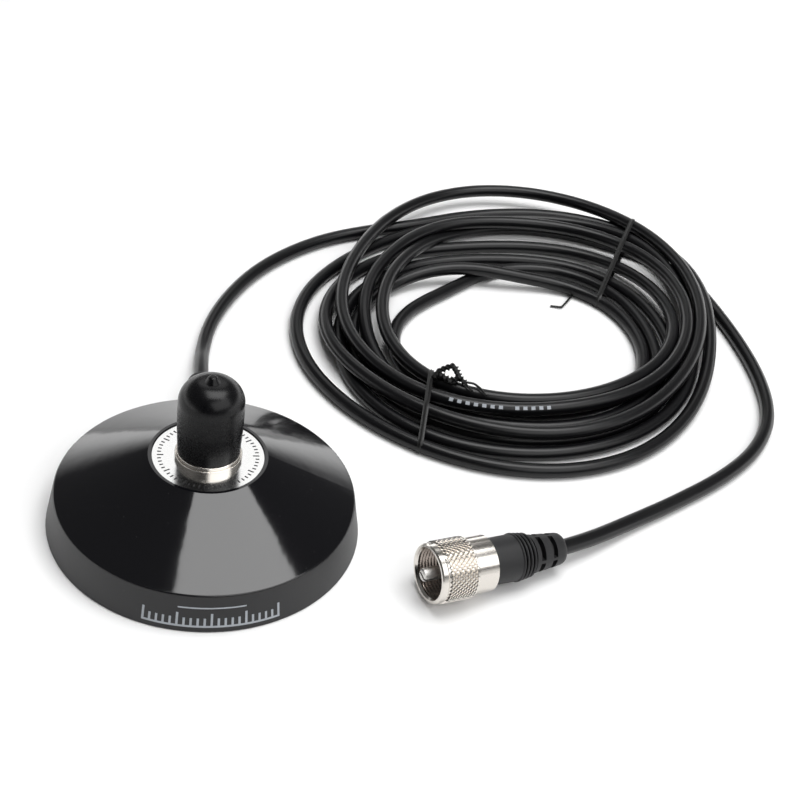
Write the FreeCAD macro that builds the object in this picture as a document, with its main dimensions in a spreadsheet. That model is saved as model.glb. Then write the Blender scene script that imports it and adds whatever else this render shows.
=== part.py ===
import FreeCAD, Part
import Sketcher
import math
import os
import re

# Magnetic antenna mount with its coaxial lead and plug, millimetres.
# The base stands on z = 0 with its axis on +Z. The lead leaves it along +Y, and its front faces -Y.

from FreeCAD import Vector

os.makedirs("parts", exist_ok=True)
doc = FreeCAD.newDocument("magnetic_antenna_mount")
sheet = doc.addObject("Spreadsheet::Sheet", "Sizes")

# The driving dimensions, in millimetres, degrees or plain counts
SIZES = {
    # Base cover: one moulding with a drafted skirt, a cone and a shallow seat for the disc
    "base_radius": 47.5,
    "skirt_draft": 2.2,
    "skirt_top": 12.1,
    "floor_gap": 0.3,
    "cover_wall": 2.4,
    "rim_round": 0.7,
    "deck_level": 25.0,
    "lip_rise": 1.0,
    "lip_width": 0.9,
    "hub_radius": 11.6,
    "rib_thick": 1.6,
    "rib_count": 6,
    "boss_circle": 15.0,
    "boss_radius": 3.0,
    "boss_count": 3,
    "boss_hole_depth": 8.0,

    # Magnet, its steel plate, the pad that covers both, and the screws
    "pad_gap": 0.8,
    "pad_thick": 0.8,
    "magnet_inset": 10.0,
    "magnet_hole": 20.0,
    "magnet_thick": 5.0,
    "plate_gap": 1.4,
    "plate_thick": 2.0,
    "plate_hole": 9.0,
    "plate_slot_width": 11.0,
    "plate_slot_length": 17.5,
    "screw_radius": 1.45,
    "screw_head_radius": 2.75,
    "screw_head_height": 1.8,
    "screw_length": 8.6,
    "close_fit": 0.05,
    "free_fit": 0.3,

    # Antenna socket: threaded sleeve with its flange, rings, insulator and centre contact
    "thread_radius": 7.94,
    "socket_top": 46.0,
    "socket_bore": 6.2,
    "socket_stem_radius": 7.3,
    "socket_stem_bottom": 16.0,
    "socket_notch_width": 1.8,
    "socket_notch_depth": 1.5,
    "socket_notch_count": 4,
    "flange_across": 19.0,
    "flange_thick": 3.0,
    "washer_radius": 10.3,
    "washer_thick": 0.8,
    "tag_radius": 10.0,
    "tag_thick": 0.6,
    "tag_tail_width": 4.0,
    "tag_tail_reach": 16.5,
    "disc_radius": 16.6,
    "disc_thick": 0.6,
    "collar_radius": 10.0,
    "collar_step_radius": 9.6,
    "collar_height": 2.7,
    "collar_step_height": 1.1,
    "insulator_top": 37.0,
    "contact_radius": 2.9,
    "contact_bore": 2.05,
    "contact_top": 44.0,
    "contact_bore_depth": 11.0,
    "contact_foot": 31.0,
    "contact_slot_width": 0.6,
    "contact_slot_depth": 6.0,
    "contact_tail_radius": 1.2,
    "contact_tail_bottom": 12.4,

    # Dust cap over the socket
    "cap_mouth_radius": 9.3,
    "cap_radius": 9.75,
    "cap_taper_end": 38.0,
    "cap_headroom": 6.9,
    "cap_wall": 1.4,
    "cap_shoulder_round": 7.4,
    "nub_radius": 2.3,
    "nub_tip_radius": 1.1,
    "nub_height": 1.8,

    # Moulded strain relief in the skirt, and the lead
    "cable_diameter": 5.0,
    "exit_level": 6.2,
    "exit_reach": 15.0,
    "exit_radius": 5.4,
    "exit_tip_radius": 4.6,
    "exit_neck_radius": 4.0,
    "exit_flange_radius": 4.7,
    "exit_flange_thick": 2.6,
    "exit_groove_depth": 0.9,
    "exit_groove_width": 1.2,
    "exit_groove_pitch": 2.8,
    "exit_groove_count": 4,
    "exit_groove_inset": 2.6,
    "exit_tip_round": 0.9,
    "exit_flange_gap": 0.9,
    "core_diameter": 2.9,
    "wire_diameter": 0.9,
    "braid_diameter": 1.6,
    "braid_offset": 2.7,
    "inner_straight": 5.4,
    "core_rise": 3.4,
    "core_turn_reach": 12.5,
    "core_end": 6.5,
    "core_tail_gap": 1.4,

    # Plug: coupling nut, body, insulator, pin, crimp sleeve and moulded boot
    "plug_across": 63.65,
    "plug_along": -34.5,
    "plug_yaw": 18.9,
    "plug_tilt": 4.5,
    "nut_length": 19.8,
    "nut_front_ring": 2.2,
    "nut_knurl_end": 12.6,
    "nut_front_radius": 8.95,
    "nut_knurl_radius": 9.4,
    "nut_rear_radius": 8.6,
    "nut_chamfer": 0.5,
    "nut_thread_radius": 7.45,
    "nut_thread_end": 10.6,
    "nut_relief_radius": 7.8,
    "nut_rear_wall": 2.2,
    "body_sleeve_front": 6.8,
    "body_sleeve_radius": 6.1,
    "body_bore": 4.9,
    "body_bore_end": 15.0,
    "body_shoulder_front": 11.4,
    "body_shoulder_length": 2.4,
    "body_shoulder_radius": 7.3,
    "body_neck_radius": 6.6,
    "body_key_width": 1.6,
    "body_key_depth": 1.2,
    "body_key_count": 4,
    "pin_radius": 1.98,
    "pin_root_radius": 1.6,
    "pin_tip": 1.2,
    "pin_slot_width": 0.7,
    "pin_slot_depth": 3.0,
    "pin_tip_round": 0.8,
    "insulator_front": 7.6,
    "boot_gap": 0.1,
    "boot_recess": 2.6,
    "sleeve_radius": 3.7,
    "sleeve_bore": 1.5,
    "sleeve_length": 10.0,
    "boot_radius": 7.2,
    "boot_ridge_start": 29.0,
    "boot_ridge_radius": 7.5,
    "boot_ridge_pitch": 1.4,
    "boot_ridge_groove": 0.7,
    "boot_ridge_count": 4,
    "boot_tail_start": 34.8,
    "boot_tail_radius": 6.1,
    "boot_end_radius": 4.9,
    "boot_length": 46.8,
    "boot_end_round": 1.6,
    "boot_slot_first": 36.3,
    "boot_slot_pitch": 4.6,
    "boot_slot_width": 1.7,
    "boot_slot_floor": 3.6,
    "boot_slot_angle": 70.0,
    "boot_slot_rows": 2,
    "boot_slots_around": 4,

    # Coil of the lead and the two ties round it
    "coil_across": 121.0,
    "coil_along": 105.0,
    "coil_height": 12.0,
    "coil_top_round": 4.5,
    "coil_foot_round": 1.5,
    "tie_width": 2.4,
    "tie_thick": 0.8,
    "tie_round": 3.5,
    "tie_level": 11.2,
    "tie_wire_diameter": 0.9,
}

# Sizes that follow from those above, so that what fits together stays together
FITTED = {
    "rim_radius": "(base_radius - skirt_draft)",
    "pad_radius": "(base_radius - cover_wall - pad_gap)",
    "plate_radius": "(rim_radius - cover_wall - plate_gap)",
    "magnet_radius": "(plate_radius - magnet_inset)",
    "plate_slot_reach": "(plate_radius - plate_slot_length)",
    "cap_crown": "(socket_top + cap_headroom)",
    "exit_end": "(base_radius + exit_reach)",
}

for row, (alias, number) in enumerate(SIZES.items(), 1):
    sheet.set("A%d" % row, alias)
    sheet.set("B%d" % row, str(number))
    sheet.setAlias("B%d" % row, alias)
doc.recompute()


def tied(text):
    """The same formula with each size name pointing at its cell in the sheet."""
    def cell(found):
        name = found.group()
        if name in FITTED:
            return tied(FITTED[name])
        return "Sizes." + name if name in SIZES else name
    return re.sub(r"[a-z_]+", cell, text)


def value(text):
    """What a formula of sizes comes to."""
    return float(sheet.evalExpression(tied(text)))


def origin_plane(body, role):
    for item in body.Origin.OriginFeatures:
        if item.Role == role:
            return item


def new_body(name):
    body = doc.addObject("PartDesign::Body", name)
    body.Label = name
    return body


def new_sketch(body, name, role="XZ_Plane"):
    sketch = body.newObject("Sketcher::SketchObject", name)
    sketch.AttachmentSupport = [(origin_plane(body, role), "")]
    sketch.MapMode = "FlatFace"
    return sketch


def lift(sketch, height):
    """Moves a sketch along its own normal to a height given by a formula."""
    sketch.AttachmentOffset = FreeCAD.Placement(Vector(0, 0, value(height)), FreeCAD.Rotation())
    sketch.setExpression("AttachmentOffset.Base.z", tied(height))


def set_point(sketch, edge, end, axis, formula):
    """Holds one coordinate of a corner at a formula of sizes."""
    kind = "DistanceX" if axis == 0 else "DistanceY"
    amount = value(formula)
    if abs(amount) < 1e-9:
        sketch.addConstraint(Sketcher.Constraint("PointOnObject", edge, end, -2 if axis == 0 else -1))
        return
    number = sketch.addConstraint(Sketcher.Constraint(kind, -1, 1, edge, end, amount))
    sketch.setExpression("Constraints[%d]" % number, tied(formula))


def outline(sketch, corners):
    """A closed outline of straight edges whose corners are pairs of formulas."""
    spots = [Vector(value(a), value(b), 0) for a, b in corners]
    count = len(spots)
    for i in range(count):
        sketch.addGeometry(Part.LineSegment(spots[i], spots[(i + 1) % count]), False)
    for i in range(count):
        sketch.addConstraint(Sketcher.Constraint("Coincident", i, 2, (i + 1) % count, 1))
    for i in range(count):
        set_point(sketch, i, 1, 0, corners[i][0])
        set_point(sketch, i, 1, 1, corners[i][1])


def ring(sketch, across, along, radius):
    """A circle whose centre and radius are formulas."""
    circle = Part.Circle(Vector(value(across), value(along), 0), Vector(0, 0, 1), value(radius))
    edge = sketch.addGeometry(circle, False)
    set_point(sketch, edge, 3, 0, across)
    set_point(sketch, edge, 3, 1, along)
    number = sketch.addConstraint(Sketcher.Constraint("Radius", edge, value(radius)))
    sketch.setExpression("Constraints[%d]" % number, tied(radius))


def turned(body, name, corners, groove=False):
    """A full turn of an outline, radius then height, about the body's own Z axis."""
    sketch = new_sketch(body, name + "_outline")
    outline(sketch, corners)
    kind = "PartDesign::Groove" if groove else "PartDesign::Revolution"
    feature = body.newObject(kind, name)
    feature.Profile = sketch
    feature.ReferenceAxis = (sketch, ["V_Axis"])
    feature.Angle = 360
    doc.recompute()
    return feature


def raised(body, name, sketch, length, symmetric=False):
    feature = body.newObject("PartDesign::Pad", name)
    feature.Profile = sketch
    feature.Length = value(length)
    feature.setExpression("Length", tied(length))
    if symmetric:
        feature.SideType = "Symmetric"
    doc.recompute()
    return feature


def sunk(body, name, sketch, length, reverse=False, symmetric=False):
    feature = body.newObject("PartDesign::Pocket", name)
    feature.Profile = sketch
    feature.Length = value(length)
    feature.setExpression("Length", tied(length))
    feature.Reversed = reverse
    if symmetric:
        feature.SideType = "Symmetric"
    doc.recompute()
    return feature


def around(body, name, features, count, angle="360"):
    """Repeats features about the body's own Z axis."""
    pattern = body.newObject("PartDesign::PolarPattern", name)
    pattern.Originals = features
    pattern.Axis = (origin_plane(body, "Z_Axis"), [""])
    pattern.Angle = float(angle)
    pattern.Occurrences = int(value(count))
    pattern.setExpression("Occurrences", tied(count))
    body.Tip = pattern
    doc.recompute()
    return pattern


def along(body, name, features, count, pitch):
    """Repeats features up the body's own Z axis."""
    pattern = body.newObject("PartDesign::LinearPattern", name)
    pattern.Originals = features
    pattern.Direction = (origin_plane(body, "Z_Axis"), [""])
    reach = "(%s) * (%s - 1)" % (pitch, count)
    pattern.Length = value(reach)
    pattern.setExpression("Length", tied(reach))
    pattern.Occurrences = int(value(count))
    pattern.setExpression("Occurrences", tied(count))
    body.Tip = pattern
    doc.recompute()
    return pattern


def edges_at(body, spots):
    """Names of the full circles of the tip that have a given radius and height."""
    found = []
    for number, edge in enumerate(body.Tip.Shape.Edges):
        curve = edge.Curve
        if not isinstance(curve, Part.Circle):
            continue
        for radius, height in spots:
            near = abs(curve.Radius - value(radius)) < 0.02 and abs(curve.Center.z - value(height)) < 0.02
            if near:
                found.append("Edge%d" % (number + 1))
    return found


def rounded(body, name, spots, radius, chamfer=False):
    """Fillets or chamfers the circular edges at the given radii and heights."""
    base = body.Tip
    names = edges_at(body, spots)
    feature = body.newObject("PartDesign::Chamfer" if chamfer else "PartDesign::Fillet", name)
    feature.Base = (base, names)
    size = "Size" if chamfer else "Radius"
    setattr(feature, size, value(radius))
    feature.setExpression(size, tied(radius))
    body.Tip = feature
    doc.recompute()
    return feature



# Levels that several pieces share
magnet_bottom = "pad_thick"
plate_bottom = "(pad_thick + magnet_thick)"
plate_top = "(pad_thick + magnet_thick + plate_thick)"
deck_underside = "(deck_level - cover_wall)"
washer_bottom = "(deck_level - cover_wall - washer_thick)"
tag_bottom = "(deck_level - cover_wall - washer_thick - tag_thick)"
flange_bottom = "(deck_level - cover_wall - washer_thick - tag_thick - flange_thick)"
disc_top = "(deck_level + disc_thick)"
collar_top = "(deck_level + disc_thick + collar_height)"
lip_level = "(deck_level + lip_rise)"
seat_radius = "(disc_radius + free_fit)"
lip_radius = "(disc_radius + free_fit + lip_width)"


def make_cover():
    body = new_body("base_cover")
    shell = [
        ("base_radius", "floor_gap"),
        ("rim_radius", "skirt_top"),
        (lip_radius, lip_level),
        (seat_radius, lip_level),
        (seat_radius, "deck_level"),
        ("thread_radius + free_fit", "deck_level"),
        ("thread_radius + free_fit", deck_underside),
        (lip_radius + " + cover_wall * 0.5", deck_underside),
        ("rim_radius - cover_wall", "skirt_top - cover_wall * 0.6"),
        ("base_radius - cover_wall", "floor_gap"),
    ]
    turned(body, "cover_shell", shell)
    rounded(body, "cover_rim_round", [("rim_radius", "skirt_top")], "rim_round")
    rib_sketch = new_sketch(body, "rib_outline")
    rib = [
        ("hub_radius", plate_top),
        ("plate_radius - 1", plate_top),
        ("plate_radius - 1", "skirt_top + cover_wall * 0.2"),
        (lip_radius + " + cover_wall * 0.5", deck_underside + " + cover_wall * 0.5"),
        ("hub_radius", deck_underside + " + cover_wall * 0.5"),
    ]
    outline(rib_sketch, rib)
    rib_pad = raised(body, "rib", rib_sketch, "rib_thick", symmetric=True)
    around(body, "ribs", [rib_pad], "rib_count")
    boss_sketch = new_sketch(body, "boss_outline", "XY_Plane")
    lift(boss_sketch, plate_top)
    ring(boss_sketch, "boss_circle * cos(30)", "boss_circle * 0.5", "boss_radius")
    boss_rise = "deck_level - cover_wall * 0.5 - " + plate_top
    boss = raised(body, "boss", boss_sketch, boss_rise)
    around(body, "bosses", [boss], "boss_count")
    hole_sketch = new_sketch(body, "boss_hole_outline", "XY_Plane")
    lift(hole_sketch, plate_top)
    ring(hole_sketch, "boss_circle * cos(30)", "boss_circle * 0.5", "screw_radius + close_fit")
    hole = sunk(body, "boss_hole", hole_sketch, "boss_hole_depth", reverse=True)
    around(body, "boss_holes", [hole], "boss_count")
    exit_sketch = new_sketch(body, "exit_outline")
    ring(exit_sketch, "0", "exit_level", "exit_neck_radius + close_fit")
    sunk(body, "exit_hole", exit_sketch, "base_radius + 1", reverse=False)
    return body


def make_disc():
    body = new_body("label_disc")
    turned(body, "disc", [
        ("thread_radius + free_fit", "deck_level"),
        ("disc_radius", "deck_level"),
        ("disc_radius", disc_top),
        ("thread_radius + free_fit", disc_top),
    ])
    return body


def make_pad():
    body = new_body("bottom_pad")
    turned(body, "pad", [("0", "0"), ("pad_radius", "0"), ("pad_radius", "pad_thick"), ("0", "pad_thick")])
    return body


def make_magnet():
    body = new_body("ring_magnet")
    turned(body, "magnet", [
        ("magnet_hole", magnet_bottom),
        ("magnet_radius", magnet_bottom),
        ("magnet_radius", plate_bottom),
        ("magnet_hole", plate_bottom),
    ])
    corners = [("magnet_hole", magnet_bottom), ("magnet_radius", magnet_bottom)]
    rounded(body, "magnet_edges", corners, "0.8", chamfer=True)
    return body


def make_plate():
    body = new_body("steel_plate")
    turned(body, "plate", [
        ("plate_hole", plate_bottom),
        ("plate_radius", plate_bottom),
        ("plate_radius", plate_top),
        ("plate_hole", plate_top),
    ])
    slot = new_sketch(body, "slot_outline", "XY_Plane")
    lift(slot, plate_bottom)
    outline(slot, [
        ("-plate_slot_width / 2", "plate_slot_reach"),
        ("plate_slot_width / 2", "plate_slot_reach"),
        ("plate_slot_width / 2", "plate_radius + 1"),
        ("-plate_slot_width / 2", "plate_radius + 1"),
    ])
    sunk(body, "cable_slot", slot, "plate_thick", reverse=True)
    holes = new_sketch(body, "screw_hole_outline", "XY_Plane")
    lift(holes, plate_bottom)
    ring(holes, "boss_circle * cos(30)", "boss_circle * 0.5", "screw_radius + free_fit")
    hole = sunk(body, "screw_hole", holes, "plate_thick", reverse=True)
    around(body, "screw_holes", [hole], "boss_count")
    return body


def make_screws():
    """Pan head screws that hold the plate to the bosses, as one group of solids."""
    head = doc.addObject("Part::Cylinder", "screw_head")
    head.setExpression("Radius", tied("screw_head_radius"))
    head.setExpression("Height", tied("screw_head_height"))
    head.setExpression("Placement.Base.z", tied(plate_bottom + " - screw_head_height"))
    shank = doc.addObject("Part::Cylinder", "screw_shank")
    shank.setExpression("Radius", tied("screw_radius"))
    shank.setExpression("Height", tied("screw_length"))
    shank.setExpression("Placement.Base.z", tied(plate_bottom))
    drive = doc.addObject("Part::Prism", "screw_drive")
    drive.Polygon = 4
    drive.setExpression("Circumradius", tied("screw_radius * 0.8"))
    drive.setExpression("Height", tied("screw_head_height * 0.6"))
    drive.setExpression("Placement.Base.z", tied(plate_bottom + " - screw_head_height"))
    whole = doc.addObject("Part::Fuse", "screw_whole")
    whole.Base = head
    whole.Tool = shank
    screw = doc.addObject("Part::Cut", "screw")
    screw.Base = whole
    screw.Tool = drive
    doc.recompute()
    group = doc.addObject("Part::Feature", "plate_screws")
    group.Label = "plate_screws"
    solids = []
    for i in range(int(value("boss_count"))):
        turn = 30 + 360.0 * i / value("boss_count")
        copy = screw.Shape.copy()
        copy.translate(Vector(value("boss_circle"), 0, 0))
        copy.rotate(Vector(0, 0, 0), Vector(0, 0, 1), turn)
        solids.append(copy.Solids[0])
    group.Shape = Part.makeCompound(solids)
    return group


def make_socket():
    body = new_body("socket_body")
    turned(body, "sleeve", [
        ("socket_bore", "socket_stem_bottom"),
        ("socket_stem_radius", "socket_stem_bottom"),
        ("socket_stem_radius", flange_bottom),
        ("thread_radius", flange_bottom),
        ("thread_radius", "socket_top"),
        ("socket_bore", "socket_top"),
    ])
    rounded(body, "sleeve_lead", [("thread_radius", "socket_top")], "0.6", chamfer=True)
    hexagon = new_sketch(body, "flange_outline", "XY_Plane")
    lift(hexagon, flange_bottom)
    half = "flange_across / 2"
    point = "flange_across / 2 / cos(30)"
    outline(hexagon, [
        (half, "-%s / 2" % point),
        (half, "%s / 2" % point),
        ("0", point),
        ("-" + half, "%s / 2" % point),
        ("-" + half, "-%s / 2" % point),
        ("0", "-" + point),
    ])
    ring(hexagon, "0", "0", "socket_stem_radius - 0.2")
    raised(body, "flange", hexagon, "flange_thick")
    notch = new_sketch(body, "notch_outline", "XY_Plane")
    lift(notch, "socket_top - socket_notch_depth")
    outline(notch, [
        ("socket_bore - 1", "-socket_notch_width / 2"),
        ("thread_radius + 1", "-socket_notch_width / 2"),
        ("thread_radius + 1", "socket_notch_width / 2"),
        ("socket_bore - 1", "socket_notch_width / 2"),
    ])
    cut = sunk(body, "notch", notch, "socket_notch_depth + 1", reverse=True)
    around(body, "notches", [cut], "socket_notch_count")
    return body


def make_washer():
    body = new_body("lock_washer")
    turned(body, "washer", [
        ("thread_radius + free_fit", washer_bottom),
        ("washer_radius", washer_bottom),
        ("washer_radius", deck_underside),
        ("thread_radius + free_fit", deck_underside),
    ])
    return body


def make_tag():
    body = new_body("ground_tag")
    sketch = new_sketch(body, "tag_outline", "XY_Plane")
    lift(sketch, tag_bottom)
    ring(sketch, "0", "0", "tag_radius")
    ring(sketch, "0", "0", "thread_radius + close_fit")
    raised(body, "tag_ring", sketch, "tag_thick")
    tail = new_sketch(body, "tail_outline", "XY_Plane")
    lift(tail, tag_bottom)
    outline(tail, [
        ("-tag_tail_width / 2", "tag_radius - 0.9"),
        ("tag_tail_width / 2", "tag_radius - 0.9"),
        ("tag_tail_width / 2", "tag_tail_reach"),
        ("-tag_tail_width / 2", "tag_tail_reach"),
    ])
    raised(body, "tag_tail", tail, "tag_thick")
    return body


def make_collar():
    body = new_body("collar_nut")
    step = "(%s - collar_step_height)" % collar_top
    turned(body, "collar", [
        ("thread_radius + close_fit", disc_top),
        ("collar_radius", disc_top),
        ("collar_radius", step),
        ("collar_step_radius", step),
        ("collar_step_radius", collar_top),
        ("thread_radius + close_fit", collar_top),
    ])
    rounded(body, "collar_edges", [("collar_radius", step), ("collar_step_radius", collar_top)], "0.25")
    return body


def make_socket_insulator():
    body = new_body("socket_insulator")
    turned(body, "insulator", [
        ("contact_tail_radius + close_fit", "socket_stem_bottom - 0.5"),
        ("socket_bore - close_fit", "socket_stem_bottom - 0.5"),
        ("socket_bore - close_fit", "insulator_top"),
        ("contact_radius + close_fit", "insulator_top"),
        ("contact_radius + close_fit", "contact_foot"),
        ("contact_tail_radius + close_fit", "contact_foot"),
    ])
    return body


def make_contact():
    body = new_body("socket_contact")
    turned(body, "contact", [
        ("0", "contact_tail_bottom"),
        ("contact_tail_radius", "contact_tail_bottom"),
        ("contact_tail_radius", "contact_foot"),
        ("contact_radius", "contact_foot"),
        ("contact_radius", "contact_top"),
        ("contact_bore", "contact_top"),
        ("contact_bore", "contact_top - contact_bore_depth"),
        ("0", "contact_top - contact_bore_depth"),
    ])
    rounded(body, "contact_lead", [("contact_radius", "contact_top")], "0.3", chamfer=True)
    slot = new_sketch(body, "contact_slot_outline", "XY_Plane")
    lift(slot, "contact_top - contact_slot_depth")
    outline(slot, [
        ("contact_bore - 0.5", "-contact_slot_width / 2"),
        ("contact_radius + 0.5", "-contact_slot_width / 2"),
        ("contact_radius + 0.5", "contact_slot_width / 2"),
        ("contact_bore - 0.5", "contact_slot_width / 2"),
    ])
    cut = sunk(body, "contact_slot", slot, "contact_slot_depth + 1", reverse=True)
    around(body, "contact_slots", [cut], "socket_notch_count")
    return body


def make_cap():
    """Dipped vinyl cap: slightly narrower at its mouth, with a soft crown and a small nub on top."""
    body = new_body("dust_cap")
    turned(body, "cap", [
        ("thread_radius + close_fit", collar_top),
        ("cap_mouth_radius", collar_top),
        ("cap_radius", "cap_taper_end"),
        ("cap_radius", "cap_crown"),
        ("nub_radius", "cap_crown"),
        ("nub_tip_radius", "cap_crown + nub_height"),
        ("0", "cap_crown + nub_height"),
        ("0", "cap_crown - cap_wall"),
        ("thread_radius + close_fit", "cap_crown - cap_wall"),
    ])
    inside = [("thread_radius + close_fit", "cap_crown - cap_wall")]
    rounded(body, "cap_inner_crown", inside, "cap_shoulder_round - cap_wall - 0.6")
    rounded(body, "cap_shoulder", [("cap_radius", "cap_crown")], "cap_shoulder_round")
    rounded(body, "nub_tip", [("nub_tip_radius", "cap_crown + nub_height")], "nub_tip_radius * 0.85")
    rounded(body, "cap_mouth", [("cap_mouth_radius", collar_top)], "0.4")
    return body


def make_exit():
    """Moulded strain relief held in the skirt: flange inside, neck in the hole, ribbed stub outside."""
    body = new_body("cable_exit")
    inner = "(rim_radius - cover_wall - exit_flange_gap)"
    turned(body, "exit_stub", [
        ("0", inner + " - exit_flange_thick"),
        ("exit_flange_radius", inner + " - exit_flange_thick"),
        ("exit_flange_radius", inner),
        ("exit_neck_radius", inner),
        ("exit_neck_radius", "rim_radius - 1"),
        ("exit_radius", "rim_radius - 1"),
        ("exit_tip_radius", "exit_end"),
        ("0", "exit_end"),
    ])
    rounded(body, "exit_tip", [("exit_tip_radius", "exit_end")], "exit_tip_round")
    top = "(exit_end - exit_groove_inset)"
    notch = turned(body, "exit_groove", [
        ("exit_tip_radius - exit_groove_depth", top + " - exit_groove_width"),
        ("exit_radius + 1", top + " - exit_groove_width"),
        ("exit_radius + 1", top),
        ("exit_tip_radius - exit_groove_depth", top),
    ], groove=True)
    body.Tip = notch
    rows = along(body, "exit_grooves", [notch], "exit_groove_count", "exit_groove_pitch")
    rows.Reversed = True
    outward = FreeCAD.Rotation(Vector(1, 0, 0), -90)
    body.Placement = FreeCAD.Placement(Vector(0, 0, value("exit_level")), outward)
    body.setExpression("Placement.Base.z", tied("exit_level"))
    skirt = doc.addObject("Part::Cone", "skirt_envelope")
    skirt.setExpression("Radius1", tied("base_radius + close_fit"))
    skirt.setExpression("Radius2", tied("rim_radius + close_fit"))
    skirt.setExpression("Height", tied("skirt_top - floor_gap"))
    skirt.setExpression("Placement.Base.z", tied("floor_gap"))
    neck = doc.addObject("Part::Cylinder", "neck_core")
    neck.setExpression("Radius", tied("exit_neck_radius"))
    neck.setExpression("Height", tied("base_radius"))
    neck.Placement = FreeCAD.Placement(Vector(0, 0, value("exit_level")), outward)
    neck.setExpression("Placement.Base.z", tied("exit_level"))
    band = doc.addObject("Part::Cylinder", "flange_zone")
    band.setExpression("Radius", tied(inner))
    band.setExpression("Height", tied("skirt_top * 2"))
    collar = doc.addObject("Part::Cut", "skirt_collar")
    collar.Base = skirt
    collar.Tool = band
    cutter = doc.addObject("Part::Cut", "skirt_cutter")
    cutter.Base = collar
    cutter.Tool = neck
    seated = doc.addObject("Part::Cut", "cable_exit_boot")
    seated.Base = body
    seated.Tool = cutter
    seated.Label = "cable_exit_boot"
    doc.recompute()
    return seated


def tube_path(points):
    """Straight runs joined by tangent arcs, each arc as large as its two runs allow."""
    spots = [Vector(*p) for p in points]
    edges = []
    radii = []
    start = spots[0]
    for i in range(1, len(spots) - 1):
        back = spots[i - 1] - spots[i]
        ahead = spots[i + 1] - spots[i]
        reach = 0.45 * min(back.Length, ahead.Length)
        turn = math.pi - back.getAngle(ahead)
        radii.append(reach / math.tan(turn / 2))
        back.normalize()
        ahead.normalize()
        first = spots[i] + back * reach
        last = spots[i] + ahead * reach
        bisector = (back + ahead).normalize()
        depth = reach / math.cos((math.pi - turn) / 2) - radii[-1]
        middle = spots[i] + bisector * depth
        edges.append(Part.LineSegment(start, first).toShape())
        edges.append(Part.Arc(first, middle, last).toShape())
        start = last
    edges.append(Part.LineSegment(start, spots[-1]).toShape())
    return Part.Wire(edges), radii


def tube_shape(name, points, diameter):
    """A round tube along the path, with its volume checked against section times length."""
    path, radii = tube_path(points)
    heading = Vector(*points[1]) - Vector(*points[0])
    circle = Part.Wire([Part.Circle(Vector(*points[0]), heading, diameter / 2).toShape()])
    solid = path.makePipeShell([circle], True, False)
    section = math.pi * diameter ** 2 / 4
    ratio = solid.Volume / (section * path.Length)
    shown = ", ".join("%.0f" % r for r in radii)
    print("%s: length %.1f, volume ratio %.4f, bend radii %s" % (name, path.Length, ratio, shown))
    if abs(ratio - 1) > 0.01:
        raise ValueError(name + " is not a clean sweep")
    return solid


def plain_node(name, shape):
    node = doc.addObject("Part::Feature", name)
    node.Label = name
    node.Shape = shape
    node.Placement = FreeCAD.Placement()
    return node


def make_inner_lead():
    """The stripped end inside the cover: core to the centre contact, braid to the ground tag."""
    level = value("exit_level")
    inner = value("rim_radius - cover_wall - exit_flange_gap - exit_flange_thick")
    bend = inner - value("inner_straight")
    tail_level = value("contact_tail_bottom + core_tail_gap")
    core_end = value("core_end")
    core = [
        (0, inner, level),
        (0, bend, level + 0.4),
        (0, value("plate_slot_reach") + 1.5, level + value("core_rise")),
        (0, value("core_turn_reach"), tail_level - 0.7),
        (0, core_end, tail_level),
    ]
    plain_node("core_insulation", tube_shape("core_insulation", core, value("core_diameter")))
    wire = [(0, core_end, tail_level), (0, 3.6, tail_level + 0.15), (0, 0.9, tail_level)]
    plain_node("centre_wire", tube_shape("centre_wire", wire, value("wire_diameter")))
    side = value("braid_offset")
    braid = [
        (side, inner, level),
        (side + 0.3, bend, level + 0.8),
        (side, value("plate_slot_reach") + 2.0, level + 4.6),
        (side * 0.6, value("tag_tail_reach") + 2.0, value(tag_bottom) - 4.6),
        (side * 0.25, value("tag_tail_reach") - 1.0, value(tag_bottom) + 0.2),
    ]
    plain_node("braid_tail", tube_shape("braid_tail", braid, value("braid_diameter")))


# The plug lies on the table with its nut and boot: its axis falls a little towards the lead
tilt = math.radians(value("plug_tilt"))
yaw = math.radians(value("plug_yaw"))
plug_axis = Vector(math.cos(tilt) * math.cos(yaw), math.cos(tilt) * math.sin(yaw), -math.sin(tilt))
plug_level = value("nut_knurl_radius") * math.cos(tilt) + value("nut_knurl_end") * math.sin(tilt)
plug_front = Vector(value("plug_across"), value("plug_along"), plug_level)


def plug_place(roll=0.0):
    """Puts a piece that was made along +Z on the plug's axis, turned about it by roll degrees."""
    side = Vector(-math.sin(yaw), math.cos(yaw), 0)
    up = plug_axis.cross(side)
    turn = FreeCAD.Rotation(side, up, plug_axis, "ZXY")
    return FreeCAD.Placement(plug_front, turn * FreeCAD.Rotation(Vector(0, 0, 1), roll))


def make_nut():
    body = new_body("coupling_nut")
    turned(body, "nut", [
        ("nut_thread_radius", "0"),
        ("nut_front_radius", "0"),
        ("nut_front_radius", "nut_front_ring"),
        ("nut_knurl_radius", "nut_front_ring"),
        ("nut_knurl_radius", "nut_knurl_end"),
        ("nut_rear_radius", "nut_knurl_end"),
        ("nut_rear_radius", "nut_length"),
        ("body_neck_radius + close_fit", "nut_length"),
        ("body_neck_radius + close_fit", "nut_length - nut_rear_wall"),
        ("nut_relief_radius", "nut_length - nut_rear_wall"),
        ("nut_relief_radius", "nut_thread_end"),
        ("nut_thread_radius", "nut_thread_end"),
    ])
    fronts = [("nut_front_radius", "0"), ("nut_thread_radius", "0"), ("nut_rear_radius", "nut_length")]
    rounded(body, "nut_chamfers", fronts, "nut_chamfer", chamfer=True)
    bands = [("nut_knurl_radius", "nut_front_ring"), ("nut_knurl_radius", "nut_knurl_end")]
    rounded(body, "knurl_chamfers", bands, "nut_chamfer * 0.6", chamfer=True)
    body.Placement = plug_place()
    return body


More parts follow.
